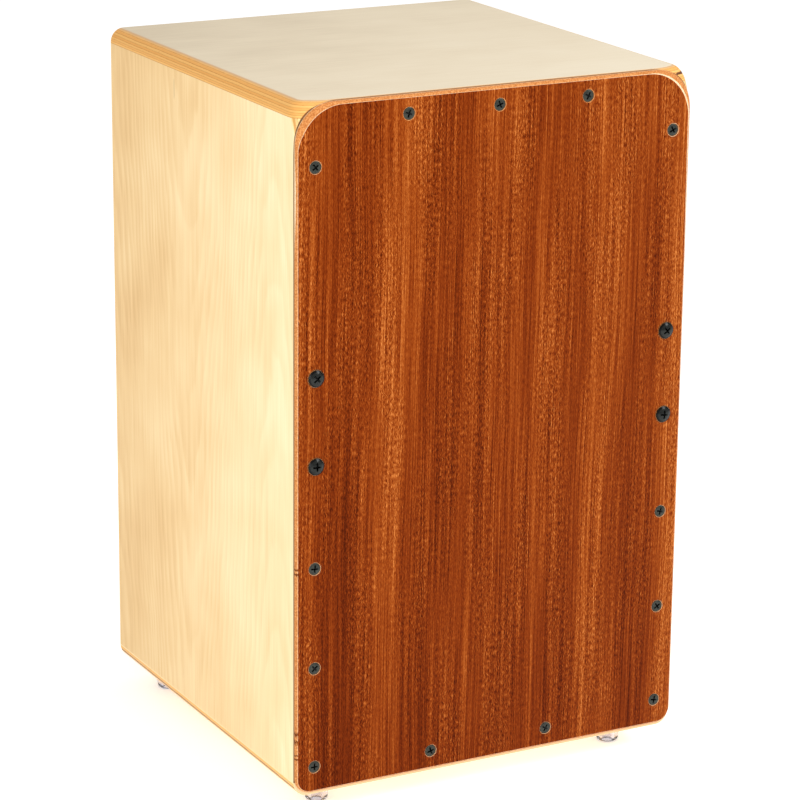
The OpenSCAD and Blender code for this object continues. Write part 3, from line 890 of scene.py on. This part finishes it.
def make_wires(side, material):
    """One set of coiled wires, each a steel helix that runs out straight at both ends."""
    node = "snare_wires_right" if side > 0 else "snare_wires_left"
    low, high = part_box(node)
    count, outer, wire_r, pitch = 10, 1.1 * MM, 0.24 * MM, 1.9 * MM
    start, end, off = -6 * MM, 138 * MM, -10.6 * MM
    start_run, end_run = 8 * MM, 3 * MM
    per_turn, sides = 8, 5
    steps = int((end - start) / pitch * per_turn)
    parts = []
    for w in range(count):
        x = low.x + outer + (high.x - low.x - 2 * outer) * w / (count - 1)
        rings = []
        for k in range(steps + 1):
            z = start + (end - start) * k / steps
            ease = min(1.0, (z - start) / start_run, (end - z) / end_run)
            radius = (outer - wire_r) * ease * ease * (3 - 2 * ease)
            turn = 2 * math.pi * k / per_turn + w
            out = Vector((math.cos(turn), math.sin(turn), 0))
            slope = math.atan2(pitch, 2 * math.pi * max(radius, 0.05 * MM))
            round_way = Vector((-math.sin(turn), math.cos(turn), 0))
            lean = round_way * -math.sin(slope) + Vector((0, 0, math.cos(slope)))
            centre = Vector((x, off, z)) + out * radius
            rings.append([
                tuple(centre + (out * math.cos(a) + lean * math.sin(a)) * wire_r)
                for a in (2 * math.pi * i / sides for i in range(sides))
            ])
        parts.append(loft(rings))
    mesh = make_mesh(node, *join(parts), sharp=80)
    mesh.transform(on_bar())
    make_piece("coiled_" + node, mesh, material, "wire_steel", "snare", node)


def make_clip(side, material):
    """Steel strip with rounded corners, and the bead of solder that holds the wires."""
    node = "snare_clip_right" if side > 0 else "snare_clip_left"
    low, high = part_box(node)
    face, thick, half_h, corner = -8.5 * MM, 1 * MM, 8 * MM, 2.5 * MM
    middle, half_w = (low.x + high.x) / 2, (high.x - low.x) / 2
    bevel, corner_steps = 0.25 * MM, 6

    def outline(margin, y):
        points = []
        for cx, cz, first in ((1, -1, -QUARTER), (1, 1, 0), (-1, 1, QUARTER), (-1, -1, 2 * QUARTER)):
            for i in range(corner_steps + 1):
                turn = first + QUARTER * i / corner_steps
                points.append((middle + cx * (half_w - corner) + (corner - margin) * math.cos(turn), y,
                               cz * (half_h - corner) + (corner - margin) * math.sin(turn)))
        return points

    strip = loft([outline(bevel, face), outline(0, face - bevel), outline(0, face - thick + bevel),
                  outline(bevel, face - thick)])
    bead_half, bead_z, bead_r, bead_sink, steps = 20 * MM, -3 * MM, 0.9 * MM, 0.02 * MM, 40
    arc = [math.pi * i / 8 for i in range(9)]
    rings = []
    for k in range(steps + 1):
        share = k / steps
        lump = 0.9 + 0.18 * math.sin(k * 2.1) + 0.1 * math.sin(k * 3.7)
        size = bead_r * lump * min(1.0, 8 * share + 0.2, 8 * (1 - share) + 0.2)
        x = middle - bead_half + 2 * bead_half * share
        top = face - thick + bead_sink
        rings.append([
            (x, top - max(0.0, math.sin(a)) * size * 0.9, bead_z + math.cos(a) * size * 1.5) for a in arc
        ])
    bead = loft(rings)
    mesh = make_mesh(node, *join([strip, bead]), sharp=40)
    mesh.transform(on_bar())
    make_piece("strip_" + node, mesh, material, "clip_steel", "snare", node)


# ---------------------------------------------------------------- carried-over CAD nodes

def finish_node(name, material, ease=0.0):
    """Gives a CAD node its material; ease softens its sharp edges by that many metres."""
    node = frame["nodes"][name]
    node.data.materials.clear()
    node.data.materials.append(material)
    if ease:
        weld = node.modifiers.new("weld", "WELD")
        weld.merge_threshold = 1e-6
        bevel = node.modifiers.new("eased_edges", "BEVEL")
        bevel.width = ease
        bevel.segments = 2
        bevel.limit_method = "ANGLE"
        bevel.angle_limit = math.radians(50)


# ---------------------------------------------------------------- light and floor

def make_floor():
    """Plain pale floor, with a little glow that keeps it as white as the backdrop."""
    half = 9.0
    corners = [(-half, -half, 0), (half, -half, 0), (half, half, 0), (-half, half, 0)]
    mesh = bpy.data.meshes.new("floor")
    mesh.from_pydata(corners, [], [(0, 1, 2, 3)])
    floor = bpy.data.objects.new("floor", mesh)
    bpy.context.scene.collection.objects.link(floor)
    s = Shader("floor", Roughness=0.9, Specular_IOR_Level=0.1)
    s.colour((0.94, 0.94, 0.94, 1))
    s.bsdf.inputs["Emission Color"].default_value = (1, 1, 1, 1)
    s.bsdf.inputs["Emission Strength"].default_value = 0.47
    mesh.materials.append(s.material)


def area_light(name, place, target, size, power):
    """White soft box at a place, aimed at a target; size in metres, power in watts."""
    data = bpy.data.lights.new(name, "AREA")
    data.shape = "RECTANGLE"
    data.size, data.size_y = size
    data.energy = power
    light = bpy.data.objects.new(name, data)
    bpy.context.scene.collection.objects.link(light)
    light.location = place
    light.rotation_mode = "QUATERNION"
    light.rotation_quaternion = (Vector(target) - Vector(place)).to_track_quat("-Z", "Y")


def make_light():
    """Even studio light: a bright white room and three soft boxes."""
    scene = bpy.context.scene
    scene.view_settings.view_transform = "Standard"
    world = bpy.data.worlds.new("studio")
    scene.world = world
    world.use_nodes = True
    backdrop = world.node_tree.nodes["Background"]
    backdrop.inputs["Color"].default_value = (1, 1, 1, 1)
    backdrop.inputs["Strength"].default_value = 0.6
    area_light("left_box", (-0.85, -0.95, 0.6), (-0.15, -0.13, 0.26), (0.5, 0.9), 5)
    area_light("right_box", (1.1, -1.4, 1.5), (0.12, -0.15, 0.42), (0.7, 0.7), 14)
    area_light("top_box", (0.35, -0.45, 2.1), (0.05, 0, 0.4), (0.8, 0.8), 11)


# ---------------------------------------------------------------- the whole

def build():
    """Camera, light and floor, then every piece of the cajon."""
    make_camera()
    make_light()
    make_floor()
    birch = side_panel_material()
    make_box(birch, seat_panel_material(), base_panel_material(), back_panel_material())

    screws = islands("front_plate_screws")
    bolts = islands("snare_block_bolts")
    make_plate(mahogany_plate(), screws, bolts)
    screw_recess = (screws[0][0].y - SCREW_PROUD) * 1000 + 0.7
    black = metal("black_screws", (32, 35, 32), 0.4, 1.0, (84, 86, 76), metallic=0.6, recess=screw_recess)
    bolt_recess = bolts[0][0].y * 1000 + 1.3
    gloss = metal("black_bolts", (22, 24, 22), 0.22, 2.0, (56, 58, 55), metallic=0.65, recess=bolt_recess)
    screw_length = screws[0][1].y - screws[0][0].y
    bolt_length = bolts[0][1].y - bolts[0][0].y
    place_fasteners("plate_screws", screws, plate_screw_mesh(screw_length), black,
                    "black_screws", "front_plate_screws", proud=SCREW_PROUD)
    place_fasteners("block_bolts", bolts, bolt_mesh(bolt_length), gloss,
                    "black_bolts", "snare_block_bolts")

    pine_up = plain_wood("pine_upright", "z", (240, 214, 160), (214, 170, 108), 1.0)
    pine_across = plain_wood("pine_across", "x", (240, 214, 160), (214, 170, 108), 5.0)
    beech = plain_wood("beech", "x", (222, 178, 130), (190, 136, 90), 9.0)
    battens = {"left": pine_up, "right": pine_up, "top": pine_across, "bottom": pine_across}
    for end in ("front", "rear"):
        for place, material in battens.items():
            finish_node(f"{end}_batten_{place}", material, 0.8 * MM)
    for name in ("snare_block_left", "snare_block_right"):
        finish_node(name, beech, 1.0 * MM)
    finish_node("snare_bar", beech)

    zinc = metal("zinc_steel", (196, 199, 204), 0.4, 3.0, (214, 216, 218), metallic=0.6)
    finish_node("snare_block_inserts", metal("brass_inserts", (190, 146, 66), 0.35, 4.0, (222, 186, 104)))
    for name in ("snare_lock_screws", "foot_washers", "foot_screws", "snare_clip_screws"):
        finish_node(name, zinc)
    strip_steel = metal("clip_steel", (168, 171, 176), 0.3, 6.0, (206, 208, 210))
    wire_steel = metal("wire_steel", (188, 190, 194), 0.25, 7.0, (222, 223, 224))
    for side in (-1, 1):
        make_clip(side, strip_steel)
        make_wires(side, wire_steel)
    rubber = clear_rubber()
    for name in ("foot_front_left", "foot_front_right", "foot_rear_left", "foot_rear_right"):
        finish_node(name, rubber)


build()
